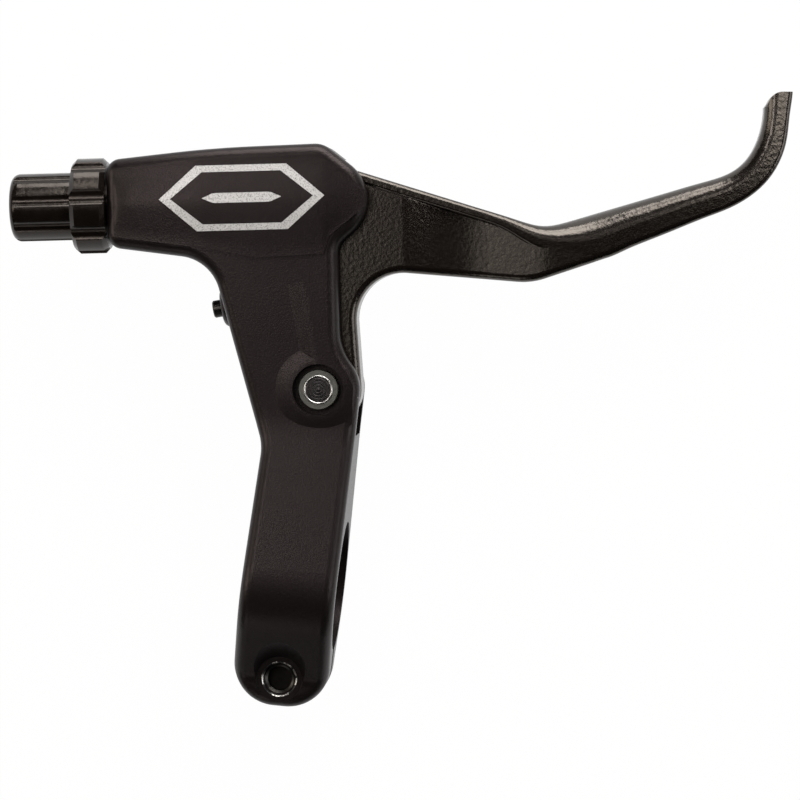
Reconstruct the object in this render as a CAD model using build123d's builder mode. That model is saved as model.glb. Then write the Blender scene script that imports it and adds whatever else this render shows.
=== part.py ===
import os
from math import acos, atan2, cos, degrees, radians, sin, tan

from build123d import *

os.makedirs("parts", exist_ok=True)

# Driving sizes in millimetres and degrees.
# X runs along the handlebar towards the blade's tip, Y forward, Z up.

# handlebar clamp
bar_diameter = 22.2
bar_clearance = 0.05
clamp_width = 16.7
clamp_wall = 3.0
clamp_slit = 2.2
jaw_reach = 21.4
jaw_corner = 7.2
jaw_seat = 5.5
jaw_round = 3.0
pinch_edge = 4.8

# where the pivot and the cable line stand
pivot_along = 2.55
pivot_forward = 33.9
cable_arm = 32.6
barrel_angle = 6.5

# body
ear_half = 8.7
ramp_end = 27.0
ramp_round = 25.0
boss_radius = 7.1
flare_angle = 40.0
flare_round = 10.0
neck_edge = 3.9
head_face = 35.8
face_front = 7.65
face_rear = 7.3
face_corner = 2.6
crown_front = 9.55
crown_along = 1.8
crown_round = 4.0
brow_front = 9.25
brow_along = 17.0
brow_round = 200.0
nose_along = 13.6
nose_across = -0.1
nose_round = 7.6
chin_drop = 8.0
chin_round = 3.5
throat_along = 18.0
throat_drop = 9.95
throat_round = 7.6
waist_along = 6.3
waist_forward = 23.5
waist_round = 9.0
head_taper = 1.3
pad_rise = 0.4
neck_end = 52.5
pad_top = 4.9
pad_run = 2.4
pad_tail = 1.0
pad_sink = 0.06
pad_blend = 7.0
ridge_lean = 15.5
ridge_offset = -0.6
edge_round = 1.9
small_break = 0.4

# room for the blade inside the body
pocket_half = 5.3
pocket_left = 9.2
pocket_front = 7.0
pocket_round = 2.5
pivot_room = 1.0
window_drop = 13.4

# blade
eye_radius = 7.2
eye_half = 4.7
hook_radius = 5.4
hook_back = 2.0
web_inner = 6.2
web_drop = 12.05
web_round = 8.0
knee_low_along = 36.9
knee_low_drop = 15.3
knee_low_round = 12.0
web_end_half = 4.33
web_end_along = 49.0
web_end_drop = 11.6
web_end_depth = 3.0
web_end_round = 1.4
web_inset = 1.0
web_crease = 6.0
crest_along = 15.5
valley_along = 24.5
valley_half = 3.1
swell_along = 39.5
swell_half = 4.62
crest_round = 6.0
valley_round = 36.0
swell_round = 30.0
rim_along = 6.7
rim_across = 5.0
knee_along = 39.4
knee_drop = 5.95
knee_round = 9.0
curl_along = 75.4
curl_across = 3.6
curl_round = 10.0
tip_along = 78.4
tip_across = 17.9
lip_run = 27.0
knee_run = 35.5
full_run = 40.0
curl_run = 70.0
lip_width = 1.9
knee_width = 4.6
full_width = 8.1
curl_width = 5.1
tip_width = 4.1
lip_height = 9.7
knee_height = 9.5
full_height = 9.4
curl_height = 8.4
tip_height = 7.6
knee_rear_drop = 0.25
full_rear_drop = 0.35
lip_front_round = 0.85
knee_front_round = 2.4
full_front_round = 4.2
curl_front_round = 2.5
tip_side_round = 2.0
lip_rear_round = 0.5
knee_rear_round = 1.0
curl_rear_round = 0.8
tip_rear_round = 0.7
tip_front_round = 2.6
tip_slant = 10.0
tip_trim = 1.5
tip_bevel = 1.5
grip_steps = 18
web_edge_round = 1.3
waist_cut = 5.0
waist_half = 4.0
hook_run = 3.1
waist_blend = 4.0
rim_corner_round = 2.0

# cable fittings
nipple_diameter = 7.0
nipple_length = 5.5
nipple_clearance = 0.1
cable_slot = 2.0
housing_diameter = 6.0
housing_clearance = 0.1
housing_depth = 9.0
cable_hole = 2.6

# pivot stack
shoulder_diameter = 6.0
pivot_thread = 5.0
bush_wall = 0.95
running_gap = 0.05
fixed_gap = 0.02
thrust_thickness = 0.5
thrust_diameter = 9.4
nut_flange = 7.05
nut_flange_thickness = 1.1
nut_shank = 6.4
bolt_head = 9.0
bolt_head_height = 1.8
counterbore_depth = 2.0
upper_counterbore = 8.8
lower_counterbore = 9.6
hex_key = 4.0
hex_depth = 2.8
bolt_proud = 0.1

# return spring
spring_wire = 0.9
spring_mean = 10.6
spring_pitch = 1.3
spring_half_turns = 3
spring_top = 1.8
spring_leg = 2.4
leg_gap = 0.15
leg_hole = 1.2
spring_leg_wire = 0.8
spring_pocket = 12.3

# reach screw
reach_drop = 16.5
reach_angle = 188.5
reach_thread = 3.0
reach_boss = 7.0
reach_boss_round = 1.3
reach_wall = 10.7
reach_boss_out = 1.4
reach_boss_in = 3.0
reach_proud = 1.5
reach_break = 0.2
reach_gap = 0.2
reach_hex = 1.5
reach_hex_depth = 2.0

# barrel adjuster and its ring
barrel_thread = 10.0
thread_gap = 0.08
thread_depth = 13.5
barrel_end_gap = 0.5
ring_diameter = 16.5
ring_length = 6.0
ring_gap = 0.3
lobes = 8
lobe_turn = 9.0
ring_groove = 1.9
ring_groove_depth = 0.9
ring_chamfer = 0.8
knob_diameter = 11.7
knob_length = 10.7
knob_groove = 1.6
knob_groove_depth = 0.45
knob_round = 1.5

# pinch bolt
pinch_thread = 5.0
pinch_pass = 5.5
pinch_head = 8.5
pinch_head_height = 5.0
seat_radius = 3.9
lower_seat_radius = 4.9
seat_chamfer = 0.6
seat_cut = 0.3
seat_draft = 30.0
pinch_sunk = 2.6
pinch_hex_depth = 2.5

# shared points and planes
bar_radius = bar_diameter / 2
bore_radius = bar_radius + bar_clearance
clamp_outer = bar_radius + clamp_wall
half_width = clamp_width / 2
pinch_setback = jaw_reach - pinch_edge
arm_half = ear_half - pad_rise
pivot = Vector(pivot_along, pivot_forward, 0)
barrel_dir = Vector(cos(radians(barrel_angle)), sin(radians(barrel_angle)), 0)
barrel_front = Vector(-barrel_dir.Y, barrel_dir.X, 0)
cable_foot = pivot + barrel_front * cable_arm
head_plane = Plane(origin=cable_foot, x_dir=barrel_dir, z_dir=(0, 0, 1))
head_side = Plane(origin=cable_foot, x_dir=barrel_dir, z_dir=barrel_front * -1)
pivot_plane = Plane(origin=pivot, x_dir=barrel_dir, z_dir=(0, 0, 1))
barrel_plane = Plane(
    origin=cable_foot - barrel_dir * head_face, x_dir=barrel_front, z_dir=barrel_dir * -1
)
far = 120.0


# a point given along and across the cable line, from the foot of the cable arm
def on_head(along, across):
    return cable_foot + barrel_dir * along + barrel_front * across


# corner whose fillet of the given radius is centred on the given point
def round_corner(centre, radius, first_angle, second_angle):
    middle = radians((first_angle + second_angle) / 2)
    opening = radians((second_angle - first_angle) / 2)
    reach = radius / cos(opening)
    return (centre[0] + reach * cos(middle), centre[1] + reach * sin(middle))


# point of a circle in the given direction
def on_circle(centre, radius, angle):
    return (centre[0] + radius * cos(radians(angle)), centre[1] + radius * sin(radians(angle)))


# direction in which a line from the given point touches a circle; side is 1 or -1
def touch_angle(point, centre, radius, side):
    run = Vector(point[0] - centre[0], point[1] - centre[1])
    return degrees(atan2(run.Y, run.X) + side * acos(radius / run.length))


# Body outline seen from above. Its right edge is tangent to the pivot boss.
jaw_right = (half_width, -jaw_reach)
edge_lean = touch_angle(jaw_right, (pivot.X, pivot.Y), boss_radius, 1)
boss_corner = round_corner((pivot.X, pivot.Y), boss_radius, edge_lean, flare_angle)
flare_start = boss_radius / cos(radians(flare_angle - barrel_angle))
flare_rise = (flare_start - neck_edge) / tan(radians(flare_angle - barrel_angle))
outline_corners = [
    jaw_right,
    boss_corner,
    on_head(neck_edge, flare_rise - cable_arm),
    on_head(neck_edge, -chin_drop),
    on_head(nose_along, nose_across),
    on_head(crown_along, crown_front),
    on_head(-brow_along, brow_front),
    on_head(-head_face, face_front),
    on_head(-head_face, -face_rear),
    on_head(-throat_along, -throat_drop),
    (-waist_along, waist_forward),
    (-half_width, -jaw_reach),
]
outline_rounds = [
    jaw_corner,
    boss_radius,
    flare_round,
    chin_round,
    nose_round,
    crown_round,
    brow_round,
    face_corner,
    face_corner,
    throat_round,
    waist_round,
    jaw_corner,
]

# Body thickness seen from the side, tangent to the clamp barrel fore and aft.
jaw_foot = (-pinch_setback, jaw_seat)
ramp_foot = (ramp_end, arm_half)
rear_slope = touch_angle(jaw_foot, (0, 0), clamp_outer, -1)
front_slope = touch_angle(ramp_foot, (0, 0), clamp_outer, 1)
crest = round_corner((0, 0), clamp_outer, front_slope, rear_slope)
profile_corners = [
    (-far, jaw_seat),
    jaw_foot,
    crest,
    ramp_foot,
    (far, arm_half),
    (far, -arm_half),
    (ramp_end, -arm_half),
    (crest[0], -crest[1]),
    (-pinch_setback, -jaw_seat),
    (-far, -jaw_seat),
]
profile_rounds = [0, jaw_round, clamp_outer, ramp_round, 0, 0, ramp_round, clamp_outer, jaw_round, 0]

# The reach screw's line, and how far its parts stand from the blade's edge.
reach_dir = Vector(
    cos(radians(reach_angle + barrel_angle)), sin(radians(reach_angle + barrel_angle)), 0
)
reach_touch = on_head(-waist_cut, -reach_drop)
reach_plane = Plane(origin=reach_touch, x_dir=(0, 0, 1), z_dir=reach_dir)
reach_boss_face = reach_wall + reach_boss_out

pinch_hole = pinch_thread / 2 + fixed_gap
seat_top = clamp_outer
seat_rise = seat_top - (jaw_seat - seat_cut)

# The head, a pad round the pivot and a ridge between them stand a little higher than the arm.
# All three have the same soft flank.
flank = [
    (pad_top, ear_half),
    (pad_top + pad_run, arm_half),
    (pad_top + pad_run + pad_tail, arm_half - pad_sink),
    (pad_top + pad_run + pad_tail, pocket_half),
]
flank_rounds = [0, 0, pad_blend, pad_blend, 0, 0]
ridge_way = Vector(0, 1, 0).rotate(Axis.Z, ridge_lean)
ridge_left = Vector(-1, 0, 0).rotate(Axis.Z, ridge_lean)
with BuildPart() as raised_area:
    with BuildSketch(Plane(pivot, x_dir=(1, 0, 0), z_dir=(0, -1, 0))):
        with BuildLine():
            FilletPolyline((0, pocket_half), (0, ear_half), *flank, radius=flank_rounds, close=True)
        make_face()
    revolve(axis=Axis(pivot, (0, 0, 1)))
    with BuildSketch(Plane(pivot, x_dir=ridge_left, z_dir=ridge_left.cross(Vector(0, 0, 1)))):
        with BuildLine():
            FilletPolyline(
                (-far, pocket_half),
                (-far, ear_half),
                *[(along - pad_top + ridge_offset, height) for along, height in flank],
                radius=flank_rounds,
                close=True,
            )
        make_face()
    extrude(amount=neck_end - pivot_forward)
    with BuildSketch(Plane((0, neck_end, 0), x_dir=(0, -1, 0), z_dir=(1, 0, 0))):
        with BuildLine():
            FilletPolyline(
                (-far, pocket_half),
                (-far, ear_half),
                *[(along - pad_top, height) for along, height in flank],
                radius=flank_rounds,
                close=True,
            )
        make_face()
    extrude(amount=far, both=True)

with BuildPart() as raised_face:
    with BuildSketch(Plane.XY.offset(pocket_half)):
        with BuildLine():
            FilletPolyline(*outline_corners, radius=outline_rounds, close=True)
        make_face()
    extrude(amount=ear_half - pocket_half)
    # the head thins towards the barrel end on a long arc
    with BuildSketch(head_side):
        with BuildLine():
            start = Line((-throat_along, ear_half), (-throat_along, ear_half + head_taper))
            top = Line(start @ 1, (-far, ear_half + head_taper))
            end = Line(top @ 1, (-far, ear_half - head_taper))
            bottom = Line(end @ 1, (-head_face, ear_half - head_taper))
            TangentArc(start @ 0, bottom @ 1, tangent=(-1, 0))
        make_face()
    extrude(amount=2 * crown_front, both=True, mode=Mode.SUBTRACT)
    walls = raised_face.faces().filter_by(lambda f: abs(f.normal_at().Z) < 0.01)
    upper_edges = walls.edges().filter_by(Axis.Z, reverse=True)
    fillet(upper_edges.filter_by(lambda e: e.center().Z > pocket_half + small_break), edge_round)
    add(raised_area.part, mode=Mode.INTERSECT)

with BuildPart() as lever_body:
    with BuildSketch():
        with BuildLine():
            FilletPolyline(*outline_corners, radius=outline_rounds, close=True)
        make_face()
    extrude(amount=far, both=True)
    with BuildSketch(Plane.YZ):
        with BuildLine():
            FilletPolyline(*profile_corners, radius=profile_rounds, close=True)
        make_face()
    extrude(amount=far, both=True, mode=Mode.INTERSECT)
    # the head thins towards the barrel end on a long arc
    with BuildSketch(head_side):
        with BuildLine():
            start = Line((-throat_along, arm_half), (-throat_along, arm_half + head_taper))
            top = Line(start @ 1, (-far, arm_half + head_taper))
            end = Line(top @ 1, (-far, arm_half - head_taper))
            bottom = Line(end @ 1, (-head_face, arm_half - head_taper))
            TangentArc(start @ 0, bottom @ 1, tangent=(-1, 0))
        make_face()
        mirror(about=Plane(head_side.origin, z_dir=(0, 0, 1)))
    extrude(amount=2 * crown_front, both=True, mode=Mode.SUBTRACT)
    walls = lever_body.faces().filter_by(lambda f: abs(f.normal_at().Z) < 0.01)
    fillet(walls.edges().filter_by(Axis.Z, reverse=True), edge_round)
    add(raised_face.part)
    mirror(raised_face.part, about=Plane.XY)
    # boss of the reach screw
    with BuildSketch(Plane(origin=reach_touch, x_dir=reach_dir, z_dir=(0, 0, 1))):
        with BuildLine():
            FilletPolyline(
                (reach_wall - reach_boss_in, 0),
                (reach_boss_face, 0),
                (reach_boss_face, reach_boss / 2),
                (reach_wall - reach_boss_in, reach_boss / 2),
                radius=[0, 0, reach_boss_round, 0],
                close=True,
            )
        make_face()
    revolve(axis=Axis(reach_touch, reach_dir))
    # handlebar bore and slit
    with BuildSketch(Plane.YZ):
        Circle(bore_radius)
        with Locations((-jaw_reach, 0)):
            Rectangle(2 * jaw_reach, clamp_slit)
    extrude(amount=clamp_width, both=True, mode=Mode.SUBTRACT)
    # pinch bolt: drafted seats, thread above, clear hole below
    with BuildSketch(Plane((0, -pinch_setback, jaw_seat - seat_cut))):
        Circle(seat_radius)
    extrude(amount=seat_rise, taper=-seat_draft, mode=Mode.SUBTRACT)
    with BuildSketch(Plane((0, -pinch_setback, seat_cut - jaw_seat), z_dir=(0, 0, -1))):
        Circle(lower_seat_radius)
    extrude(amount=seat_rise, taper=-seat_draft / 2, mode=Mode.SUBTRACT)
    with BuildSketch(Plane((0, -pinch_setback, 0))):
        Circle(pinch_hole)
    extrude(amount=seat_top, mode=Mode.SUBTRACT)
    with BuildSketch(Plane((0, -pinch_setback, jaw_seat - seat_cut), z_dir=(0, 0, -1))):
        Circle(pinch_hole + seat_chamfer)
    extrude(amount=seat_chamfer, taper=45, mode=Mode.SUBTRACT)
    with BuildSketch(Plane((0, -pinch_setback, 0))):
        Circle(pinch_pass / 2)
    extrude(amount=-seat_top, mode=Mode.SUBTRACT)
    # room for the blade, and the window below its hook
    with BuildSketch(head_plane):
        with BuildLine():
            FilletPolyline(
                (far, pocket_front),
                (-pocket_left, pocket_front),
                (-pocket_left, -cable_arm - eye_radius - pivot_room),
                (far, -cable_arm - eye_radius - pivot_room),
                radius=[0, pocket_round, eye_radius, 0],
                close=True,
            )
        make_face()
    extrude(amount=pocket_half, both=True, mode=Mode.SUBTRACT)
    with BuildSketch(head_plane):
        with BuildLine():
            FilletPolyline(
                (far, pocket_front),
                (-pocket_left, pocket_front),
                (-pocket_left, -window_drop),
                (far, -window_drop),
                radius=[0, pocket_round, pocket_round, 0],
                close=True,
            )
        make_face()
    extrude(amount=-2 * ear_half, mode=Mode.SUBTRACT)
    # pivot holes
    with BuildSketch(pivot_plane):
        Circle(nut_shank / 2 + fixed_gap)
    extrude(amount=2 * ear_half, mode=Mode.SUBTRACT)
    with BuildSketch(pivot_plane.offset(ear_half - counterbore_depth)):
        Circle(upper_counterbore / 2)
    extrude(amount=ear_half, mode=Mode.SUBTRACT)
    with BuildSketch(pivot_plane):
        Circle(shoulder_diameter / 2 + fixed_gap)
    extrude(amount=-2 * ear_half, mode=Mode.SUBTRACT)
    with BuildSketch(pivot_plane.offset(counterbore_depth - ear_half)):
        Circle(lower_counterbore / 2)
    extrude(amount=-ear_half, mode=Mode.SUBTRACT)
    # hole for the spring's lower leg
    with BuildSketch(Plane(pivot).offset(-pocket_half)):
        with Locations((spring_mean / 2, 0)):
            Circle(spring_leg_wire / 2 + leg_gap)
    extrude(amount=-leg_hole, mode=Mode.SUBTRACT)
    # reach screw thread
    with BuildSketch(reach_plane):
        Circle(reach_thread / 2 + thread_gap)
    extrude(amount=far / 4, mode=Mode.SUBTRACT)
    # adjuster thread, cable hole and the slot the cable drops in by
    with BuildSketch(barrel_plane):
        Circle(barrel_thread / 2 + thread_gap)
    extrude(amount=-thread_depth, mode=Mode.SUBTRACT)
    with BuildSketch(barrel_plane):
        Circle(cable_hole / 2)
        with Locations((0, ear_half)):
            Rectangle(cable_slot, 2 * ear_half)
    extrude(amount=pocket_left - head_face, mode=Mode.SUBTRACT)
lever_body.part.label = "lever_body"
export_step(lever_body.part, "parts/lever_body.step")

# Pinch bolt, put in from below; its end stops short of the upper seat.
pinch_under = seat_cut - jaw_seat
pinch_end = jaw_seat - seat_cut - pinch_sunk
with BuildPart() as clamp_bolt:
    with BuildSketch(Plane((0, -pinch_setback, pinch_under))):
        Circle(pinch_thread / 2)
    extrude(amount=pinch_end - pinch_under)
    chamfer(clamp_bolt.faces().sort_by(Axis.Z)[-1].edges(), small_break)
    with BuildSketch(Plane((0, -pinch_setback, pinch_under - pinch_head_height))):
        Circle(pinch_head / 2)
    extrude(amount=pinch_head_height)
    chamfer(clamp_bolt.faces().sort_by(Axis.Z)[0].edges(), small_break)
    with BuildSketch(Plane((0, -pinch_setback, pinch_under - pinch_head_height))):
        RegularPolygon(hex_key / 2, 6, major_radius=False)
    extrude(amount=pinch_hex_depth, mode=Mode.SUBTRACT)
clamp_bolt.part.label = "clamp_bolt"
export_step(clamp_bolt.part, "parts/clamp_bolt.step")

# Blade: a flat web from eye to knee, with a rounded grip along its front edge.
eye_centre = (0, -cable_arm)
hook_centre = (-hook_back, 0)
inner_corner = (web_inner, -web_drop)
rim_corner = (rim_along, rim_across - web_inset)
waist_high = (-waist_cut, -reach_drop + waist_half)
hook_left = (-hook_back - hook_radius, waist_high[1] + hook_run)
waist_low = (-waist_cut, -reach_drop - waist_half)
eye_left = touch_angle(waist_low, eye_centre, eye_radius, 1)
eye_right = touch_angle(inner_corner, eye_centre, eye_radius, -1)
hook_right = touch_angle(rim_corner, hook_centre, hook_radius, 1)
grip_lean = atan2(curl_across + knee_drop, curl_along - knee_along)
web_end = (web_end_along, -web_end_drop)
web_corners = [
    on_circle(eye_centre, eye_radius, eye_left),
    on_circle(eye_centre, eye_radius, eye_right),
    inner_corner,
    (knee_low_along, -knee_low_drop),
    web_end,
    on_circle(web_end, web_end_depth, 90 + degrees(grip_lean)),
    (knee_along, -knee_drop - web_inset),
    rim_corner,
    round_corner(hook_centre, hook_radius, hook_right, 180),
    hook_left,
    waist_high,
    waist_low,
]
web_rounds = [
    0,
    0,
    web_round,
    knee_low_round,
    web_end_round,
    web_end_round,
    web_crease,
    rim_corner_round,
    hook_radius,
    waist_blend,
    waist_blend,
    waist_blend,
]

with BuildLine(head_plane) as grip_line:
    FilletPolyline(
        (rim_along, rim_across),
        (knee_along, -knee_drop),
        (curl_along, curl_across),
        (tip_along, tip_across),
        radius=[knee_round, curl_round],
    )
grip_path = grip_line.wires()[0]
grip_length = grip_path.length


# size of the grip at a run along its front edge, from its sizes at lip, knee, full grip, curl and tip
def grip_size(run, lip, knee, full, curl, tip):
    runs = [0, lip_run, knee_run, full_run, curl_run, grip_length]
    sizes = [lip, lip, knee, full, curl, tip]
    place = max(index for index in range(len(runs) - 1) if runs[index] <= run)
    share = (run - runs[place]) / (runs[place + 1] - runs[place])
    return sizes[place] + (sizes[place + 1] - sizes[place]) * share


web_waves = [crest_round, valley_round, swell_round]
with BuildPart() as lever_blade:
    with BuildSketch(head_plane):
        with BuildLine():
            FilletPolyline(*web_corners, radius=web_rounds, close=True)
        make_face()
        with Locations(eye_centre):
            Circle(eye_radius)
    extrude(amount=eye_half + 1, both=True)
    with BuildSketch(head_side):
        with BuildLine():
            FilletPolyline(
                (-far, eye_half),
                (crest_along, eye_half),
                (valley_along, valley_half),
                (swell_along, swell_half),
                (web_end_along, web_end_half),
                (web_end_along, -web_end_half),
                (swell_along, -swell_half),
                (valley_along, -valley_half),
                (crest_along, -eye_half),
                (-far, -eye_half),
                radius=[0, *web_waves, 0, 0, *reversed(web_waves), 0],
                close=True,
            )
        make_face()
    extrude(amount=far, both=True, mode=Mode.INTERSECT)
    rims = lever_blade.faces().filter_by(lambda f: abs(f.normal_at().Z) < 0.01)
    fillet(rims.edges().filter_by(Axis.Z, reverse=True), web_edge_round)
    # grip: a lip along the web's front edge that swells into a full round grip at the knee
    for step in range(grip_steps + 1):
        share = step / grip_steps
        run = share * grip_length
        width = grip_size(run, lip_width, knee_width, full_width, curl_width, tip_width)
        half = grip_size(run, lip_height, knee_height, full_height, curl_height, tip_height) / 2
        rear_half = half - grip_size(run, 0, knee_rear_drop, full_rear_drop, 0, 0)
        front = grip_size(
            run, lip_front_round, knee_front_round, full_front_round, curl_front_round, tip_side_round
        )
        rear = grip_size(
            run, lip_rear_round, knee_rear_round, web_edge_round, curl_rear_round, tip_rear_round
        )
        way = grip_path % share
        with BuildSketch(Plane(grip_path @ share, x_dir=(-way.Y, way.X, 0), z_dir=way)):
            with BuildLine():
                FilletPolyline(
                    (0, half),
                    (-width, rear_half),
                    (-width, -rear_half),
                    (0, -half),
                    radius=[front, rear, rear, front],
                    close=True,
                )
            make_face()
    loft()
    # the tip is cut off square to the bar, rounded on its front corner and bevelled above and below
    tip_way = grip_path % 1
    tip_out = tip_way.rotate(Axis.Z, tip_slant)
    tip_end = grip_path @ 1 - tip_way * tip_trim
    with BuildSketch(Plane(tip_end, x_dir=tip_out, z_dir=(0, 0, 1))):
        Rectangle(far / 4, far / 4, align=(Align.MIN, Align.CENTER))
        Rectangle(2 * tip_front_round, 2 * tip_front_round)
        with Locations((-tip_front_round, -tip_front_round)):
            Circle(tip_front_round, mode=Mode.SUBTRACT)
    extrude(amount=tip_height, both=True, mode=Mode.SUBTRACT)
    with BuildSketch(Plane(tip_end, x_dir=tip_out, z_dir=tip_out.cross(Vector(0, 0, 1)))):
        with BuildLine():
            bevel_reach = tip_height / 2 + tip_bevel
            Polyline((0, bevel_reach - tip_height), (0, -tip_height), (-bevel_reach, -tip_height), close=True)
        make_face()
        mirror(about=Plane(tip_end, z_dir=(0, 0, 1)))
    extrude(amount=far / 4, both=True, mode=Mode.SUBTRACT)
    # eye and the spring's pocket
    with BuildSketch(pivot_plane):
        Circle(shoulder_diameter / 2 + running_gap + bush_wall + fixed_gap)
    extrude(amount=eye_half, both=True, mode=Mode.SUBTRACT)
    with BuildSketch(pivot_plane.offset(-eye_half)):
        Circle(spring_pocket / 2)
    extrude(amount=eye_half - spring_top + spring_wire, mode=Mode.SUBTRACT)
    with BuildSketch(Plane(pivot).offset(-eye_half)):
        with Locations((-spring_mean / 2, 0)):
            Circle(spring_leg_wire / 2 + leg_gap)
    extrude(amount=eye_half - spring_top + spring_leg + leg_gap, mode=Mode.SUBTRACT)
    # socket for the cable end, with its slot towards the barrel
    with BuildSketch(head_plane.offset(-eye_half)):
        with Locations((-hook_back, 0)):
            Circle(nipple_diameter / 2 + nipple_clearance)
        with Locations((-hook_back - hook_radius, 0)):
            Rectangle(2 * hook_radius, cable_slot)
    extrude(amount=eye_half + nipple_length / 2, mode=Mode.SUBTRACT)
lever_blade.part.label = "lever_blade"
export_step(lever_blade.part, "parts/lever_blade.step")

# Pivot stack, from the bolt's head below to the nut's flange above.
head_seat = counterbore_depth - ear_half
flange_seat = ear_half - counterbore_depth
bolt_end = flange_seat + nut_flange_thickness + bolt_proud
with BuildPart() as pivot_bolt:
    with BuildSketch(pivot_plane.offset(head_seat)):
        Circle(bolt_head / 2)
    extrude(amount=-bolt_head_height)
    chamfer(pivot_bolt.faces().sort_by(Axis.Z)[0].edges(), small_break)
    with BuildSketch(pivot_plane.offset(head_seat)):
        Circle(shoulder_diameter / 2)
    extrude(amount=pocket_half - head_seat)
    with BuildSketch(pivot_plane.offset(pocket_half)):
        Circle(pivot_thread / 2)
    extrude(amount=bolt_end - pocket_half)
    chamfer(pivot_bolt.faces().sort_by(Axis.Z)[-1].edges(), small_break / 2)
    with BuildSketch(pivot_plane.offset(head_seat - bolt_head_height)):
        RegularPolygon(hex_key / 2, 6, major_radius=False)
    extrude(amount=hex_depth, mode=Mode.SUBTRACT)
pivot_bolt.part.label = "pivot_bolt"
export_step(pivot_bolt.part, "parts/pivot_bolt.step")

with BuildPart() as pivot_nut:
    with BuildSketch(pivot_plane.offset(flange_seat)):
        Circle(nut_flange / 2)
    extrude(amount=nut_flange_thickness)
    chamfer(pivot_nut.faces().sort_by(Axis.Z)[-1].edges(), small_break / 2)
    with BuildSketch(pivot_plane.offset(pocket_half)):
        Circle(nut_shank / 2)
    extrude(amount=flange_seat - pocket_half)
    with BuildSketch(pivot_plane):
        Circle(pivot_thread / 2 + fixed_gap)
    extrude(amount=2 * ear_half, mode=Mode.SUBTRACT)
pivot_nut.part.label = "pivot_nut"
export_step(pivot_nut.part, "parts/pivot_nut.step")

with BuildPart() as pivot_bush:
    with BuildSketch(pivot_plane):
        Circle(shoulder_diameter / 2 + running_gap + bush_wall)
        Circle(shoulder_diameter / 2 + running_gap, mode=Mode.SUBTRACT)
    extrude(amount=eye_half, both=True)
pivot_bush.part.label = "pivot_bush"
export_step(pivot_bush.part, "parts/pivot_bush.step")

with BuildPart() as upper_thrust_washer:
    with BuildSketch(pivot_plane.offset(eye_half)):
        Circle(thrust_diameter / 2)
        Circle(shoulder_diameter / 2 + running_gap, mode=Mode.SUBTRACT)
    extrude(amount=thrust_thickness)
upper_thrust_washer.part.label = "upper_thrust_washer"
export_step(upper_thrust_washer.part, "parts/upper_thrust_washer.step")

with BuildPart() as lower_thrust_washer:
    with BuildSketch(pivot_plane.offset(-eye_half)):
        Circle(thrust_diameter / 2)
        Circle(shoulder_diameter / 2 + running_gap, mode=Mode.SUBTRACT)
    extrude(amount=-thrust_thickness)
lower_thrust_washer.part.label = "lower_thrust_washer"
export_step(lower_thrust_washer.part, "parts/lower_thrust_washer.step")

# Return spring: leaning half rings make the coil; one leg goes up into the blade, one down into the body.
coil_rise = spring_pitch / 2
coil_low = -spring_top - coil_rise * spring_half_turns
coil_lean = degrees(atan2(coil_rise, spring_mean))
with BuildPart() as return_spring:
    for turn in range(spring_half_turns):
        side = 1 - 2 * (turn % 2)
        begin = pivot + Vector(side * spring_mean / 2, 0, coil_low + coil_rise * turn)
        middle = pivot + Vector(0, 0, coil_low + coil_rise * (turn + 0.5))
        with BuildSketch(Plane(begin, x_dir=(1, 0, 0), z_dir=(0, 1, 0))):
            Circle(spring_wire / 2)
        coil_axis = Axis(middle, Vector(0, 0, 1).rotate(Axis.Y, side * coil_lean))
        revolve(axis=coil_axis, revolution_arc=180)
    with BuildSketch(Plane(pivot + Vector(spring_mean / 2, 0, coil_low))):
        Circle(spring_leg_wire / 2)
    extrude(amount=-spring_leg)
    with BuildSketch(Plane(pivot + Vector(-spring_mean / 2, 0, -spring_top))):
        Circle(spring_leg_wire / 2)
    extrude(amount=spring_leg)
return_spring.part.label = "return_spring"
export_step(return_spring.part, "parts/return_spring.step")

# Reach screw: its point stands just clear of the blade.
with BuildPart() as reach_screw:
    with BuildSketch(reach_plane.offset(reach_gap)):
        Circle(reach_thread / 2)
    extrude(amount=reach_boss_face + reach_proud - reach_gap)
    chamfer(reach_screw.edges().filter_by(GeomType.CIRCLE), reach_break)
    with BuildSketch(reach_plane.offset(reach_boss_face + reach_proud)):
        RegularPolygon(reach_hex / 2, 6, major_radius=False)
    extrude(amount=-reach_hex_depth, mode=Mode.SUBTRACT)
reach_screw.part.label = "reach_screw"
export_step(reach_screw.part, "parts/reach_screw.step")

# Barrel adjuster, slotted underneath so the cable can be laid in.
knob_start = ring_gap + ring_length + ring_gap / 2
knob_radius = knob_diameter / 2
knob_end = knob_start + knob_length
with BuildPart() as barrel_adjuster:
    with BuildSketch(barrel_plane.offset(knob_start)):
        Circle(knob_radius)
    extrude(amount=knob_length)
    fillet(barrel_adjuster.faces().sort_by(Axis(barrel_plane.origin, barrel_dir))[0].edges(), knob_round)
    with BuildSketch(barrel_plane.offset(knob_start)):
        with PolarLocations(knob_radius + knob_groove - knob_groove_depth, lobes, start_angle=lobe_turn):
            Circle(knob_groove)
    extrude(amount=knob_length - knob_round / 2, mode=Mode.SUBTRACT)
    with BuildSketch(barrel_plane.offset(barrel_end_gap - thread_depth)):
        Circle(barrel_thread / 2)
    extrude(amount=thread_depth - barrel_end_gap + knob_start)
    with BuildSketch(barrel_plane.offset(knob_end)):
        Circle(housing_diameter / 2 + housing_clearance)
    extrude(amount=-housing_depth, mode=Mode.SUBTRACT)
    with BuildSketch(barrel_plane.offset(knob_end)):
        Circle(cable_hole / 2)
        with Locations((0, knob_radius)):
            Rectangle(cable_slot, knob_diameter)
    extrude(amount=-knob_end - thread_depth, mode=Mode.SUBTRACT)
barrel_adjuster.part.label = "barrel_adjuster"
export_step(barrel_adjuster.part, "parts/barrel_adjuster.step")

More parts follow.
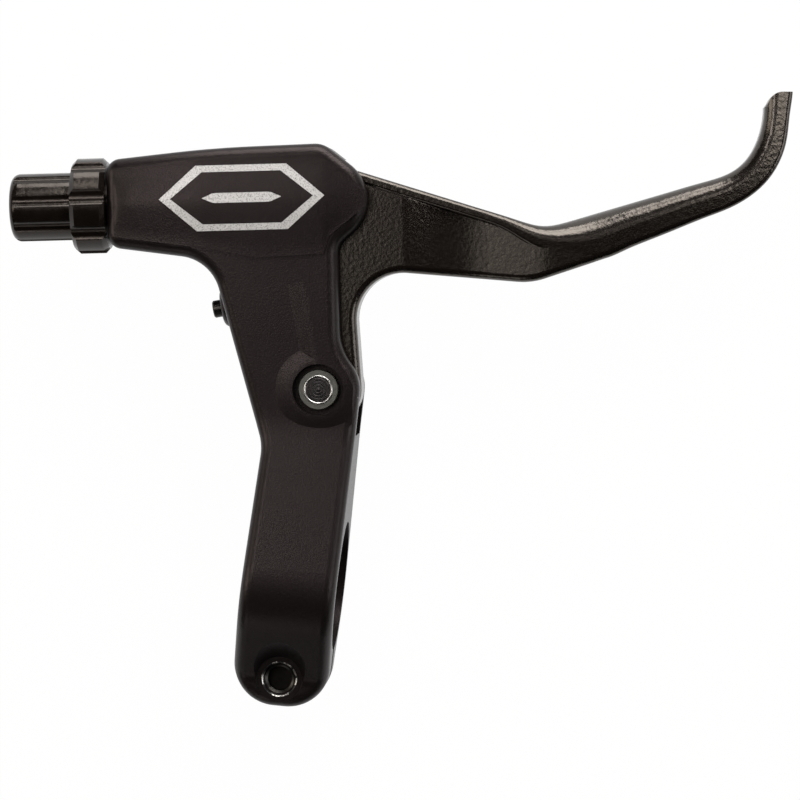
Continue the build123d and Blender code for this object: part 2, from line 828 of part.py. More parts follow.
ring_radius = ring_diameter / 2
with BuildPart() as lock_ring:
    with BuildSketch(barrel_plane.offset(ring_gap)):
        Circle(ring_radius)
    extrude(amount=ring_length)
    chamfer(lock_ring.edges().filter_by(GeomType.CIRCLE), ring_chamfer)
    with BuildSketch(barrel_plane.offset(ring_gap)):
        with PolarLocations(ring_radius + ring_groove - ring_groove_depth, lobes, start_angle=lobe_turn):
            Circle(ring_groove)
        Circle(barrel_thread / 2 + thread_gap)
        with Locations((0, ring_radius)):
            Rectangle(cable_slot, ring_diameter)
    extrude(amount=ring_length, mode=Mode.SUBTRACT)
lock_ring.part.label = "lock_ring"
export_step(lock_ring.part, "parts/lock_ring.step")
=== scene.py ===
import bpy
import bmesh
from math import cos, pi, radians, sin, sqrt
from mathutils import Matrix, Vector


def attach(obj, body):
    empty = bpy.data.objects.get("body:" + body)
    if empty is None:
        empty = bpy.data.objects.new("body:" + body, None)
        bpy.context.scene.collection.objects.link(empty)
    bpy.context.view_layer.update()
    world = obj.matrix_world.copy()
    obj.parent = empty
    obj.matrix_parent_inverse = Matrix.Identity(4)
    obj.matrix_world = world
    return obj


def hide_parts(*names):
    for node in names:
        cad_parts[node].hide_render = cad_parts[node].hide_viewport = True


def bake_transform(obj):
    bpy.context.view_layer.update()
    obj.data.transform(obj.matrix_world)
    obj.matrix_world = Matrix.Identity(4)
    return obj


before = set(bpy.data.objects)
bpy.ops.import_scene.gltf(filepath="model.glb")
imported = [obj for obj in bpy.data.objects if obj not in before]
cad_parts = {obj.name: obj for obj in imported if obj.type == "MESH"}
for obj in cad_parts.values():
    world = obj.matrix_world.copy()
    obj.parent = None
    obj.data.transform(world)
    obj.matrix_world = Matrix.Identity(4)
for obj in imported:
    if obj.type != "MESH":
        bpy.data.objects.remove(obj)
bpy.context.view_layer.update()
mm = 0.001
print("frame loaded:", len(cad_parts), "nodes")

# the lines the pieces are set out from, in millimetres and degrees
layout = {
    "pivot": (2.55, 33.9),
    "barrelAngle": 6.5,
    "cableArm": 32.6,
    "headFace": 35.8,
    "faceHeight": 8.7,
    "taperStart": 18.0,
    "taperDrop": 1.3,
    "pinchSetback": 16.6,
}
barrelTurn = radians(layout["barrelAngle"])
alongDir = Vector((cos(barrelTurn), sin(barrelTurn), 0.0))
acrossDir = Vector((-sin(barrelTurn), cos(barrelTurn), 0.0))
upDir = Vector((0.0, 0.0, 1.0))
cableFoot = Vector((*layout["pivot"], 0.0)) + acrossDir * layout["cableArm"]


def onHead(along, across, height):
    return cableFoot + alongDir * along + acrossDir * across + upDir * height


def faceHeight(along):  # top of the head, which thins towards the adjuster on an arc
    run = max(0.0, -along - layout["taperStart"])
    span = layout["headFace"] - layout["taperStart"]
    radius = (span * span + layout["taperDrop"] ** 2) / (2 * layout["taperDrop"])
    return layout["faceHeight"] - radius + sqrt(radius * radius - run * run)


# node helpers
noiseSpan = (0.3, 0.7)  # where most of a noise texture's values lie
colourMix = {"factor": 0, "first": 6, "second": 7, "result": 2}  # a mix node's sockets for colours


def addNode(tree, kind, at):
    node = tree.nodes.new(kind)
    node.location = at
    return node


def startMaterial(name, colour, roughness, metallic=0.0):
    material = bpy.data.materials.new(name)
    material.use_nodes = True
    tree = material.node_tree
    shader = tree.nodes["Principled BSDF"]
    shader.inputs["Base Color"].default_value = (*colour, 1.0)
    shader.inputs["Roughness"].default_value = roughness
    shader.inputs["Metallic"].default_value = metallic
    place = addNode(tree, "ShaderNodeTexCoord", (-1500, 0)).outputs["Object"]
    return material, tree, shader, place


def setGloss(shader, look):
    shader.inputs["Specular IOR Level"].default_value = look["shine"]
    shader.inputs["Specular Tint"].default_value = (*look["glint"], 1.0)


def rampBetween(tree, value, fromSpan, toSpan, at):
    node = addNode(tree, "ShaderNodeMapRange", at)
    node.inputs["From Min"].default_value = fromSpan[0]
    node.inputs["From Max"].default_value = fromSpan[1]
    node.inputs["To Min"].default_value = toSpan[0]
    node.inputs["To Max"].default_value = toSpan[1]
    tree.links.new(value, node.inputs["Value"])
    return node.outputs["Result"]


def noiseAt(tree, place, noise, at):  # noise is its scale, detail and roughness
    node = addNode(tree, "ShaderNodeTexNoise", at)
    node.inputs["Scale"].default_value = noise[0]
    node.inputs["Detail"].default_value = noise[1]
    node.inputs["Roughness"].default_value = noise[2]
    tree.links.new(place, node.inputs["Vector"])
    return node.outputs["Fac"]


def cellsAt(tree, place, scale, at):
    node = addNode(tree, "ShaderNodeTexVoronoi", at)
    node.inputs["Scale"].default_value = scale
    tree.links.new(place, node.inputs["Vector"])
    return node


def addBump(tree, height, bump, at, before=None):  # bump is its depth in millimetres and its strength
    node = addNode(tree, "ShaderNodeBump", at)
    node.inputs["Distance"].default_value = bump[0] * mm
    node.inputs["Strength"].default_value = bump[1]
    tree.links.new(height, node.inputs["Height"])
    if before is not None:
        tree.links.new(before, node.inputs["Normal"])
    return node.outputs["Normal"]


def mixColour(tree, factor, first, second, at):  # the first may be another node's colour
    node = addNode(tree, "ShaderNodeMix", at)
    node.data_type = "RGBA"
    tree.links.new(factor, node.inputs[colourMix["factor"]])
    if isinstance(first, tuple):
        node.inputs[colourMix["first"]].default_value = (*first, 1.0)
    else:
        tree.links.new(first, node.inputs[colourMix["first"]])
    node.inputs[colourMix["second"]].default_value = (*second, 1.0)
    return node.outputs[colourMix["result"]]


def mathNode(tree, kind, at, *values):
    node = addNode(tree, "ShaderNodeMath", at)
    node.operation = kind
    for socket, value in zip(node.inputs, values):
        if isinstance(value, float):
            socket.default_value = value
        else:
            tree.links.new(value, socket)
    return node.outputs["Value"]


def scaled(colour, share):
    return tuple(min(1.0, part * share) for part in colour)


# finishes
def satinPaint():  # cast body, fine dry spray grain and a few specks of dust
    look = {
        "dark": (0.0062, 0.0048, 0.0047),
        "light": (0.0088, 0.0069, 0.0067),
        "speck": (0.20, 0.19, 0.18),
        "rough": (0.29, 0.39),
        "shine": 0.27,
        "glint": (1.0, 0.84, 0.84),
        "cloud": (130.0, 4.0, 0.5),
        "grain": (3400.0, 2.0, 0.5),
        "grainBump": (0.06, 0.55),
        "speckScale": 420.0,
        "speckSize": 0.055,
        "speckShare": 0.945,
    }
    material, tree, shader, place = startMaterial("bodyPaint", look["dark"], look["rough"][0])
    setGloss(shader, look)
    cloud = noiseAt(tree, place, look["cloud"], (-1250, 200))
    grain = noiseAt(tree, place, look["grain"], (-1250, -100))
    specks = cellsAt(tree, place, look["speckScale"], (-1250, -400))
    near = mathNode(tree, "LESS_THAN", (-1000, -400), specks.outputs["Distance"], look["speckSize"])
    cellTint = addNode(tree, "ShaderNodeSeparateColor", (-1000, -600))
    tree.links.new(specks.outputs["Color"], cellTint.inputs["Color"])
    chosen = mathNode(tree, "GREATER_THAN", (-800, -600), cellTint.outputs["Red"], look["speckShare"])
    dust = mathNode(tree, "MULTIPLY", (-600, -450), near, chosen)
    paint = mixColour(tree, cloud, look["dark"], look["light"], (-800, 250))
    dusty = mixColour(tree, dust, paint, look["speck"], (-400, 250))
    tree.links.new(dusty, shader.inputs["Base Color"])
    rough = rampBetween(tree, grain, noiseSpan, look["rough"], (-700, 0))
    tree.links.new(rough, shader.inputs["Roughness"])
    normal = addBump(tree, grain, look["grainBump"], (-500, -200))
    tree.links.new(normal, shader.inputs["Normal"])
    return material


def pebbledPaint():  # thick glossy paint on the blade, with an orange-peel skin
    look = {
        "dark": (0.0036, 0.0026, 0.0021),
        "light": (0.0054, 0.0040, 0.0033),
        "rough": (0.17, 0.26),
        "shine": 0.78,
        "glint": (1.0, 0.90, 0.80),
        "cloud": (180.0, 3.0, 0.5),
        "peel": (1500.0, 1.5, 0.45),
        "peelBump": (0.11, 0.40),
        "fine": (4200.0, 2.0, 0.5),
        "fineBump": (0.04, 0.25),
    }
    material, tree, shader, place = startMaterial("bladePaint", look["dark"], look["rough"][0])
    setGloss(shader, look)
    cloud = noiseAt(tree, place, look["cloud"], (-1250, 250))
    peel = noiseAt(tree, place, look["peel"], (-1250, 0))
    fine = noiseAt(tree, place, look["fine"], (-1250, -250))
    paint = mixColour(tree, cloud, look["dark"], look["light"], (-700, 250))
    tree.links.new(paint, shader.inputs["Base Color"])
    rough = rampBetween(tree, fine, noiseSpan, look["rough"], (-700, 0))
    tree.links.new(rough, shader.inputs["Roughness"])
    pebbles = addBump(tree, peel, look["peelBump"], (-500, -150))
    normal = addBump(tree, fine, look["fineBump"], (-300, -250), pebbles)
    tree.links.new(normal, shader.inputs["Normal"])
    return material


def glossBlack():  # dipped black of the adjuster and its ring
    look = {
        "dark": (0.0046, 0.0034, 0.0028),
        "light": (0.0084, 0.0064, 0.0054),
        "rough": (0.10, 0.24),
        "shine": 0.30,
        "glint": (1.0, 0.87, 0.78),
        "patch": (420.0, 4.0, 0.6),
        "patchBump": (0.12, 0.35),
        "fine": (3000.0, 2.0, 0.5),
        "fineBump": (0.03, 0.2),
    }
    material, tree, shader, place = startMaterial("adjusterBlack", look["dark"], look["rough"][0])
    setGloss(shader, look)
    patch = noiseAt(tree, place, look["patch"], (-1250, 100))
    fine = noiseAt(tree, place, look["fine"], (-1250, -200))
    paint = mixColour(tree, patch, look["dark"], look["light"], (-700, 250))
    tree.links.new(paint, shader.inputs["Base Color"])
    rough = rampBetween(tree, patch, noiseSpan, look["rough"], (-700, 0))
    tree.links.new(rough, shader.inputs["Roughness"])
    patches = addBump(tree, patch, look["patchBump"], (-500, -150))
    normal = addBump(tree, fine, look["fineBump"], (-300, -250), patches)
    tree.links.new(normal, shader.inputs["Normal"])
    return material


def distanceFrom(tree, place, centre):  # how far a point lies from an upright axis
    split = addNode(tree, "ShaderNodeSeparateXYZ", (-1250, -450))
    tree.links.new(place, split.inputs["Vector"])
    sideways = mathNode(tree, "SUBTRACT", (-1050, -420), split.outputs["X"], centre[0])
    forward = mathNode(tree, "SUBTRACT", (-1050, -560), split.outputs["Y"], centre[1])
    sidewaysSquare = mathNode(tree, "MULTIPLY", (-880, -420), sideways, sideways)
    forwardSquare = mathNode(tree, "MULTIPLY", (-880, -560), forward, forward)
    total = mathNode(tree, "ADD", (-720, -480), sidewaysSquare, forwardSquare)
    return mathNode(tree, "POWER", (-560, -480), total, 0.5)


def platedSteel(name, colour, rough, centre=None):
    look = {
        "worn": 0.78,
        "bright": 1.15,
        "wear": (900.0, 4.0, 0.6),
        "fine": (5000.0, 2.0, 0.5),
        "fineBump": (0.03, 0.25),
        "ringScale": 24000.0,
        "ringBump": (0.03, 0.5),
    }
    material, tree, shader, place = startMaterial(name, colour, rough[0], 1.0)
    wear = noiseAt(tree, place, look["wear"], (-1250, 100))
    fine = noiseAt(tree, place, look["fine"], (-1250, -150))
    roughness = rampBetween(tree, wear, noiseSpan, rough, (-700, 0))
    tree.links.new(roughness, shader.inputs["Roughness"])
    shade = mixColour(tree, wear, scaled(colour, look["worn"]), scaled(colour, look["bright"]), (-700, 250))
    tree.links.new(shade, shader.inputs["Base Color"])
    normal = addBump(tree, fine, look["fineBump"], (-400, -150))
    if centre is not None:  # rings left by the lathe
        radius = distanceFrom(tree, place, centre)
        phase = mathNode(tree, "MULTIPLY", (-420, -480), radius, look["ringScale"])
        wave = mathNode(tree, "SINE", (-280, -480), phase)
        normal = addBump(tree, wave, look["ringBump"], (-150, -350), normal)
    tree.links.new(normal, shader.inputs["Normal"])
    return material


def bearingPlastic(name, colour):
    look = {"rough": 0.5, "shade": 0.85, "cloud": (700.0, 3.0, 0.5), "cloudBump": (0.03, 0.2)}
    material, tree, shader, place = startMaterial(name, colour, look["rough"])
    cloud = noiseAt(tree, place, look["cloud"], (-1250, 100))
    shade = mixColour(tree, cloud, scaled(colour, look["shade"]), colour, (-700, 200))
    tree.links.new(shade, shader.inputs["Base Color"])
    normal = addBump(tree, cloud, look["cloudBump"], (-400, -150))
    tree.links.new(normal, shader.inputs["Normal"])
    return material


def silverPrint():  # screen-printed silver, speckled where the grain shows through
    look = {
        "silver": (0.60, 0.59, 0.58),
        "gap": (0.24, 0.235, 0.23),
        "rough": 0.42,
        "metal": 0.35,
        "grain": (4200.0, 3.0, 0.7),
        "gapSpan": (0.36, 0.5),
        "grainBump": (0.03, 0.3),
    }
    material, tree, shader, place = startMaterial("silverPrint", look["silver"], look["rough"], look["metal"])
    grain = noiseAt(tree, place, look["grain"], (-1250, 0))
    share = rampBetween(tree, grain, look["gapSpan"], (0.0, 1.0), (-1000, 100))
    shade = mixColour(tree, share, look["gap"], look["silver"], (-700, 200))
    tree.links.new(shade, shader.inputs["Base Color"])
    normal = addBump(tree, grain, look["grainBump"], (-400, -150))
    tree.links.new(normal, shader.inputs["Normal"])
    return material


def chipAndHighlightPaint():  # black paint rubbed through to the metal in short strokes; the bright metal is partly chipped paint and partly a painted highlight of the chamfer's rounded edge
    look = {
        "black": (0.010, 0.009, 0.009),
        "metal": (0.78, 0.76, 0.72),
        "rough": 0.3,
        "stroke": (640.0, 3.0, 0.55),
        "bareAndHighlightSpan": (0.50, 0.56),
        "strokeBump": (0.05, 0.4),
    }
    material, tree, shader, place = startMaterial("chipAndHighlightEdge", look["black"], look["rough"])
    strokes = noiseAt(tree, place, look["stroke"], (-1250, 0))
    # bright metal where the noise passes the span: chipped paint, and a painted highlight
    bareAndHighlight = rampBetween(tree, strokes, look["bareAndHighlightSpan"], (0.0, 1.0), (-1000, 100))
    shade = mixColour(tree, bareAndHighlight, look["black"], look["metal"], (-700, 200))
    tree.links.new(shade, shader.inputs["Base Color"])
    tree.links.new(bareAndHighlight, shader.inputs["Metallic"])
    normal = addBump(tree, strokes, look["strokeBump"], (-400, -150))
    tree.links.new(normal, shader.inputs["Normal"])
    return material


pivotCentre = (layout["pivot"][0] * mm, layout["pivot"][1] * mm)
bodyPaint = satinPaint()
bladePaint = pebbledPaint()
adjusterBlack = glossBlack()
boltBlack = platedSteel("boltBlack", (0.028, 0.024, 0.022), (0.28, 0.45))
pivotSteel = platedSteel("pivotSteel", (0.046, 0.042, 0.043), (0.34, 0.5), pivotCentre)
# bright copy of the bolt's steel: a painted highlight for the lip on the pivot bolt's end
lipHighlightSteel = platedSteel("lipHighlightSteel", (0.72, 0.71, 0.69), (0.22, 0.38))
nutGrey = platedSteel("nutGrey", (0.17, 0.172, 0.155), (0.36, 0.5))
springWire = platedSteel("springWire", (0.42, 0.41, 0.40), (0.2, 0.35))
screwBlack = platedSteel("screwBlack", (0.05, 0.047, 0.043), (0.3, 0.45))
bushNatural = bearingPlastic("bushNatural", (0.72, 0.70, 0.64))
washerBlack = bearingPlastic("washerBlack", (0.03, 0.03, 0.03))
printSilver = silverPrint()
chipAndHighlightEdge = chipAndHighlightPaint()

finishes = {
    "lever_body": bodyPaint,
    "clamp_bolt": boltBlack,
    "lever_blade": bladePaint,
    "pivot_bolt": pivotSteel,
    "pivot_nut": nutGrey,
    "pivot_bush": bushNatural,
    "upper_thrust_washer": washerBlack,
    "lower_thrust_washer": washerBlack,
    "return_spring": springWire,
    "reach_screw": screwBlack,
    "barrel_adjuster": adjusterBlack,
    "lock_ring": adjusterBlack,
}
for name, material in finishes.items():
    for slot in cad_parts[name].material_slots:
        slot.material = material
print("finishes set:", len(finishes))


# mesh helpers
def keepMesh(name, mesh, material, body):
    piece = bpy.data.objects.new(name, mesh)
    bpy.context.scene.collection.objects.link(piece)
    piece.data.materials.append(material)
    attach(piece, body)


def sheetMesh(name, rows, closed=False, smooth=True):  # a skin of four-sided faces through rows of points
    count = len(rows[0])
    spots = [tuple(spot * mm) for row in rows for spot in row]
    faces = []
    for before in range(0, count * (len(rows) - 1), count):
        here = before + count
        for step in range(count if closed else count - 1):
            other = (step + 1) % count
            faces.append((before + step, here + step, here + other, before + other))
    mesh = bpy.data.meshes.new(name)
    mesh.from_pydata(spots, [], faces)
    mesh.update()
    mesh.polygons.foreach_set("use_smooth", [smooth] * len(mesh.polygons))
    return mesh


def stepsBetween(start, end, steps):
    return [start + (end - start) * step / steps for step in range(steps + 1)]


def held(value):  # kept between nought and one
    return min(1.0, max(0.0, value))


# soft roof on the head's face: its front half leans forwards and its rear half backwards
crown = {
    "rise": 0.50,
    "leftEnd": -34.3,
    "rightEnd": 9.0,
    "leftFade": 3.0,
    "rightFade": 9.0,
    "front": ((-35.8, 5.75), (-17.0, 7.35), (1.8, 7.2), (9.0, 1.3)),
    "rear": ((-35.8, 5.4), (-18.0, 8.0), (-10.0, 9.8), (1.6, 9.4), (2.6, 6.4), (9.0, 1.3)),
    "ridgeSoft": (0.7, 3.2),
    "ease": 0.35,
    "sink": 0.004,
    "alongSteps": 130,
    "acrossSteps": 60,
}


def between(table, along):
    for (startX, startY), (endX, endY) in zip(table, table[1:]):
        if along <= endX:
            return startY + (endY - startY) * (along - startX) / (endX - startX)
    return table[-1][1]


def smoothStep(value):
    value = held(value)
    return value * value * (3.0 - 2.0 * value)


def crownRise(along, across):
    edge = between(crown["front"] if across > 0 else crown["rear"], along)
    softLeft, softRight = crown["ridgeSoft"]
    passed = (along - crown["leftEnd"]) / (crown["rightEnd"] - crown["leftEnd"])
    soft = softLeft + (softRight - softLeft) * held(passed)
    reach = sqrt(edge * edge + soft * soft) - soft
    fall = (sqrt(across * across + soft * soft) - soft) / reach
    inward = held((along - crown["leftEnd"]) / crown["leftFade"])
    fade = sqrt(1.0 - (1.0 - inward) ** 2)
    fade *= smoothStep((crown["rightEnd"] - along) / crown["rightFade"])
    slope = max(0.0, 1.0 - fall)
    ease = crown["ease"]
    share = slope * slope / (2 * ease) if slope < ease else slope - ease / 2  # runs out flat at the edge
    return crown["rise"] * share * fade


def headCrown():
    rows = []
    for along in stepsBetween(crown["leftEnd"], crown["rightEnd"], crown["alongSteps"]):
        front, rear = between(crown["front"], along), between(crown["rear"], along)
        base = faceHeight(along) - crown["sink"]
        row = []
        for across in stepsBetween(-rear, front, crown["acrossSteps"]):
            row.append(onHead(along, across, base + crownRise(along, across)))
        rows.append(row)
    keepMesh("headCrown", sheetMesh("headCrown", rows), bodyPaint, "lever_body")


headCrown()
print("head crowned")


# generic print on the head's face: a long six-sided frame with a bar inside it
def headPrint():
    look = {
        "alongMid": -12.2,
        "acrossMid": 0.6,
        "halfLength": 14.2,
        "halfHeight": 5.6,
        "cut": 6.4,
        "innerCut": 5.5,
        "line": 1.15,
        "endLine": 1.94,
        "steps": 10,
        "barHalf": 6.8,
        "barHeight": 0.85,
        "barCut": 1.9,
        "barPoint": 0.02,
        "barSteps": 24,
        "lift": 0.02,
        "thick": 0.03,
    }
    low = look["lift"]
    high = look["lift"] + look["thick"]
    bm = bmesh.new()

    def sixSides(length, height, cut):
        corners = (
            (-length, 0.0), (-length + cut, -height), (length - cut, -height),
            (length, 0.0), (length - cut, height), (-length + cut, height),
        )
        points = []
        for (x, y), (nextX, nextY) in zip(corners, corners[1:] + corners[:1]):
            for step in range(look["steps"]):
                share = step / look["steps"]
                points.append((x + (nextX - x) * share, y + (nextY - y) * share))
        return points

    def placed(x, y, height):
        along = look["alongMid"] + x
        across = look["acrossMid"] + y
        spot = onHead(along, across, faceHeight(along) + crownRise(along, across) + height)
        return bm.verts.new(spot * mm)

    def joinLoops(one, two):
        for index in range(len(one)):
            other = (index + 1) % len(one)
            bm.faces.new((one[index], one[other], two[other], two[index]))

    outer = sixSides(look["halfLength"], look["halfHeight"], look["cut"])
    innerLength = look["halfLength"] - look["endLine"]
    innerHeight = look["halfHeight"] - look["line"]
    inner = sixSides(innerLength, innerHeight, look["innerCut"])
    rings = []
    for loop, height in ((outer, low), (outer, high), (inner, high), (inner, low)):
        rings.append([placed(x, y, height) for x, y in loop])
    for one, two in zip(rings, rings[1:] + rings[:1]):
        joinLoops(one, two)

    slices = []
    for x in stepsBetween(-look["barHalf"], look["barHalf"], look["barSteps"]):
        half = max(look["barPoint"], look["barHeight"] * held((look["barHalf"] - abs(x)) / look["barCut"]))
        corners = ((-half, low), (half, low), (half, high), (-half, high))
        slices.append([placed(x, y, height) for y, height in corners])
    for one, two in zip(slices, slices[1:]):
        joinLoops(one, two)
    bm.faces.new(slices[0])
    bm.faces.new(slices[-1])
    bmesh.ops.recalc_face_normals(bm, faces=bm.faces)
    mesh = bpy.data.meshes.new("headPrint")
    bm.to_mesh(mesh)
    bm.free()
    keepMesh("headPrint", mesh, printSilver, "lever_body")


headPrint()
print("print laid on the head")


# turned and threaded details, as radius and height
def turned(name, centre, profile, material):
    sides = 72
    rows = []
    for radius, height in profile:
        ring = []
        for side in range(sides):
            angle = 2 * pi * side / sides
            ring.append(Vector((centre[0] + radius * cos(angle), centre[1] + radius * sin(angle), height)))
        rows.append(ring)
    keepMesh(name, sheetMesh(name, rows, closed=True), material, "lever_body")


def pivotEnd():  # lip and ringed face on the end of the pivot bolt; the lip's bright steel is a painted highlight on the bolt's rim
    look = {
        "lip": ((2.16, 7.88), (2.20, 7.99), (2.30, 8.04), (2.42, 8.03), (2.49, 7.95), (2.50, 7.86)),
        "pip": ((0.02, 8.00), (0.16, 7.99), (0.24, 7.93)),
        "face": 7.92,
        "rings": ((0.69, 7.950), (1.19, 7.945), (1.76, 7.940)),
        "ringFoot": 0.11,
        "ringTop": 0.05,
        "rim": (2.20, 7.905),
    }
    disc = list(look["pip"])
    for middle, top in look["rings"]:
        disc.append((middle - look["ringFoot"], look["face"]))
        disc.append((middle - look["ringTop"], top))
        disc.append((middle + look["ringTop"], top))
        disc.append((middle + look["ringFoot"], look["face"]))
    disc.append(look["rim"])
    # the lip's bright steel paints the highlight on the bolt's rim; the face keeps the bolt's dark steel
    turned("pivotLip", layout["pivot"], look["lip"], lipHighlightSteel)
    turned("pivotDisc", layout["pivot"], disc, pivotSteel)


pinch = {
    "centre": (0.0, -layout["pinchSetback"]),
    # profile of the chamfer ring that carries the chipped paint and the painted highlight
    "wear": ((2.74, 4.98), (2.80, 5.06), (2.93, 5.19), (3.00, 5.22), (3.05, 5.215), (3.08, 5.17)),
    "threadLow": 2.75,
    "threadHigh": 4.75,
    "pitch": 0.8,
    "outer": 2.51,
    "inner": 2.14,
    "flank": 0.30,
    "crest": 0.06,
    "sides": 48,
}


def pinchThread():
    tooth = (
        (pinch["outer"], -pinch["flank"]), (pinch["inner"], -pinch["crest"]),
        (pinch["inner"], pinch["crest"]), (pinch["outer"], pinch["flank"]),
    )
    total = int((pinch["threadHigh"] - pinch["threadLow"]) / pinch["pitch"] * pinch["sides"])
    rows = []
    for step in range(total + 1):
        angle = 2 * pi * step / pinch["sides"]
        height = pinch["threadLow"] + pinch["pitch"] * step / pinch["sides"]
        row = []
        for radius, lift in tooth:
            x = pinch["centre"][0] + radius * cos(angle)
            y = pinch["centre"][1] + radius * sin(angle)
            row.append(Vector((x, y, height + lift)))
        rows.append(row)
    mesh = sheetMesh("pinchThread", rows, smooth=False)
    keepMesh("pinchThread", mesh, screwBlack, "lever_body")


pivotEnd()
# chamfer ring at the pinch hole's mouth; its bright metal strokes are chipped paint and a painted highlight
# of the rounded edge
turned("pinchChipAndHighlight", pinch["centre"], pinch["wear"], chipAndHighlightEdge)
pinchThread()
print("pivot end and pinch thread made")


# the real return spring winds up with the blade, its lower leg staying in the body and its upper leg turning;
# here a still copy in spring wire takes the place of the hidden CAD part
def windingSpring():
    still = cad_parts["return_spring"]
    mesh = still.data.copy()
    mesh.materials.clear()
    piece = bpy.data.objects.new("windingSpring", mesh)
    bpy.context.scene.collection.objects.link(piece)
    piece.matrix_world = still.matrix_world.copy()
    mesh.materials.append(springWire)
    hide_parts("return_spring")
    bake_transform(piece)


windingSpring()


# thin skins over two small marks in the blade, both smooth in the real one
def roundedWall(halfFlat, radius, reach, steps):  # depth and height round a wall's lower and upper edge
    upper = []
    for angle in stepsBetween(0.0, radians(reach), steps):
        upper.append((radius - radius * cos(angle), halfFlat + radius * sin(angle)))
    lower = [(depth, -height) for depth, height in reversed(upper)]
    return lower + upper


def kneeFill():  # carries the web's rear edge on to where the grip takes over
    look = {"corner": (47.0, 59.5), "angle": 23.6, "start": 0.3, "end": 3.6, "sink": 0.02, "steps": 12}
    wall = {"halfFlat": 3.08, "radius": 1.3, "reach": 85.0, "steps": 8}
    lean = radians(look["angle"])
    onward = Vector((cos(lean), sin(lean), 0.0))
    inward = Vector((-sin(lean), cos(lean), 0.0))
    corner = Vector((*look["corner"], 0.0))
    rows = []
    for run in stepsBetween(look["start"], look["end"], look["steps"]):
        base = corner + onward * run + inward * look["sink"]
        rows.append([base + inward * depth + upDir * height for depth, height in roundedWall(**wall)])
    keepMesh("kneeFill", sheetMesh("kneeFill", rows), bladePaint, "lever_blade")


def tipFill():  # leads the curl's left side into the rounded corner of the tip
    look = {"side": 74.32, "start": 88.3, "end": 90.3, "bend": 88.9, "lean": 0.6, "soft": 0.3, "steps": 14}
    wall = {"halfFlat": 1.67, "radius": 2.4, "reach": 40.0, "steps": 6}
    rows = []
    for forward in stepsBetween(look["start"], look["end"], look["steps"]):
        past = forward - look["bend"]
        side = look["side"] + look["lean"] * (sqrt(past * past + look["soft"] ** 2) + past) / 2
        outline = reversed(roundedWall(**wall))
        rows.append([Vector((side + depth, forward, height)) for depth, height in outline])
    keepMesh("tipFill", sheetMesh("tipFill", rows), bladePaint, "lever_blade")


kneeFill()
tipFill()
print("knee and tip smoothed")


# floor, light and camera
def whiteFloor():  # white to the camera and in reflections, and still takes the lever's shadow
    look = {"height": -14.3, "half": 3.0, "parts": 4, "colour": 0.95, "rough": 0.9, "glow": 0.985}
    bm = bmesh.new()
    bmesh.ops.create_grid(bm, x_segments=look["parts"], y_segments=look["parts"], size=look["half"])
    mesh = bpy.data.meshes.new("floor")
    bm.to_mesh(mesh)
    bm.free()
    floor = bpy.data.objects.new("floor", mesh)
    floor.location = (0.0, 0.0, look["height"] * mm)
    bpy.context.scene.collection.objects.link(floor)
    material = bpy.data.materials.new("whiteFloor")
    material.use_nodes = True
    tree = material.node_tree
    shader = tree.nodes["Principled BSDF"]
    shader.inputs["Base Color"].default_value = (look["colour"], look["colour"], look["colour"], 1.0)
    shader.inputs["Roughness"].default_value = look["rough"]
    light = addNode(tree, "ShaderNodeLightPath", (-700, 400))
    rays = [light.outputs[kind + " Ray"] for kind in ("Is Camera", "Is Glossy", "Is Transmission")]
    seen = mathNode(tree, "MAXIMUM", (-500, 400), rays[0], rays[1])
    seen = mathNode(tree, "MAXIMUM", (-350, 400), seen, rays[2])
    share = mathNode(tree, "MULTIPLY", (-200, 400), seen, look["glow"])
    glow = addNode(tree, "ShaderNodeEmission", (-200, 200))
    glow.inputs["Strength"].default_value = 1.0
    mix = addNode(tree, "ShaderNodeMixShader", (250, 200))
    tree.links.new(share, mix.inputs["Fac"])
    tree.links.new(shader.outputs["BSDF"], mix.inputs[1])
    tree.links.new(glow.outputs["Emission"], mix.inputs[2])
    tree.links.new(mix.outputs["Shader"], tree.nodes["Material Output"].inputs["Surface"])
    mesh.materials.append(material)


def studioWorld():  # a dim room that the camera sees as white
    look = {"sky": (0.006, 0.006, 0.006), "seen": (1.0, 1.0, 1.0)}
    world = bpy.data.worlds.new("studio")
    bpy.context.scene.world = world
    world.use_nodes = True
    tree = world.node_tree
    room = tree.nodes["Background"]
    room.inputs["Color"].default_value = (*look["sky"], 1.0)
    room.inputs["Strength"].default_value = 1.0
    white = addNode(tree, "ShaderNodeBackground", (-200, -200))
    white.inputs["Color"].default_value = (*look["seen"], 1.0)
    light = addNode(tree, "ShaderNodeLightPath", (-500, 300))
    mix = addNode(tree, "ShaderNodeMixShader", (250, 100))
    tree.links.new(light.outputs["Is Camera Ray"], mix.inputs["Fac"])
    tree.links.new(room.outputs["Background"], mix.inputs[1])
    tree.links.new(white.outputs["Background"], mix.inputs[2])
    tree.links.new(mix.outputs["Shader"], tree.nodes["World Output"].inputs["Surface"])


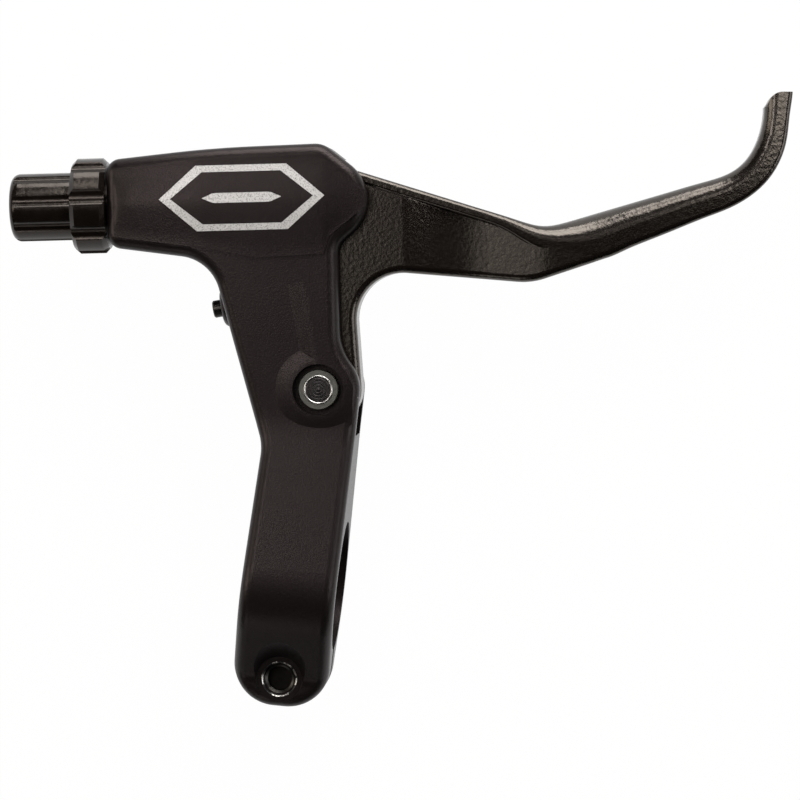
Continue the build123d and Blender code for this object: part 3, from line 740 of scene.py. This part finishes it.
# soft boxes, in metres and watts, all aimed at the middle of the lever
lampAim = (0.02, 0.045, 0.0)
lamps = {
    "frontLow": {
        "spot": (0.12, 0.92, 0.18), "size": (0.95, 0.22), "power": 5.5, "colour": (1.0, 0.985, 0.965),
    },
    "frontHigh": {
        "spot": (0.12, 0.79, 0.50), "size": (0.75, 0.38), "power": 7.5, "colour": (1.0, 0.985, 0.965),
    },
    "topBox": {
        "spot": (0.02, 0.29, 0.87), "size": (0.22, 0.18), "power": 0.07, "colour": (1.0, 0.95, 0.93),
    },
    "headBox": {
        "spot": (-0.100, 0.118, 0.31), "size": (0.13, 0.045), "power": 0.15, "colour": (1.0, 0.95, 0.94),
    },
    "curlBox": {
        "spot": (0.086, 0.116, 0.15), "size": (0.035, 0.035), "power": 0.021, "colour": (1.0, 0.97, 0.92),
    },
    "leftBox": {
        "spot": (-0.26, 0.05, 0.86), "size": (0.20, 0.40), "power": 0.24, "colour": (1.0, 0.96, 0.90),
    },
    "leftEdge": {
        "spot": (-0.75, 0.05, 0.47), "size": (0.40, 0.50), "power": 2.2, "colour": (1.0, 0.93, 0.82),
    },
    "rightEdge": {
        "spot": (0.78, 0.05, 0.46), "size": (0.40, 0.50), "power": 1.7, "colour": (0.98, 0.98, 1.0),
    },
    "rearEdge": {
        "spot": (-0.24, -0.75, 0.40), "size": (0.40, 0.30), "power": 0.5, "colour": (1.0, 0.97, 0.93),
    },
}


def softBox(name, spot, size, power, colour):
    lamp = bpy.data.lights.new(name, "AREA")
    lamp.shape = "RECTANGLE"
    lamp.size = size[0]
    lamp.size_y = size[1]
    lamp.energy = power
    lamp.color = colour
    holder = bpy.data.objects.new(name, lamp)
    holder.location = spot
    aim = Vector(lampAim) - Vector(spot)
    holder.rotation_euler = aim.to_track_quat("-Z", "Y").to_euler()
    bpy.context.scene.collection.objects.link(holder)


whiteFloor()
studioWorld()
for name, box in lamps.items():
    softBox(name, **box)
print("floor and lamps set:", len(lamps), "lamps")


def setCamera():  # looks down on the lever's outer face
    view = {
        "centre": (20.0, 40.0, 0.0),
        "roll": -5.052,
        "sideways": -2.518,
        "tilt": 1.589,
        "distance": 575.0,
        "pixelsPerMm": 5.7707,
        "middle": (424.8, 362.0),
        "picture": 800.0,
        "sensor": 36.0,
        "nearest": 10.0,
    }
    facing = (
        Matrix.Rotation(radians(view["tilt"]), 3, "X")
        @ Matrix.Rotation(radians(view["sideways"]), 3, "Y")
        @ Matrix.Rotation(radians(view["roll"]), 3, "Z")
    )
    stand = facing.transposed()
    data = bpy.data.cameras.new("camera")
    data.sensor_width = view["sensor"]
    data.lens = view["pixelsPerMm"] * view["distance"] * view["sensor"] / view["picture"]
    data.shift_x = (view["picture"] / 2 - view["middle"][0]) / view["picture"]
    data.shift_y = (view["middle"][1] - view["picture"] / 2) / view["picture"]
    data.clip_start = view["nearest"] * mm
    camera = bpy.data.objects.new("camera", data)
    spot = Vector(view["centre"]) + stand @ upDir * view["distance"]
    camera.matrix_world = Matrix.Translation(spot * mm) @ stand.to_4x4()
    bpy.context.scene.collection.objects.link(camera)
    bpy.context.scene.camera = camera


setCamera()
bpy.context.scene.view_settings.view_transform = "Standard"
print("camera set")
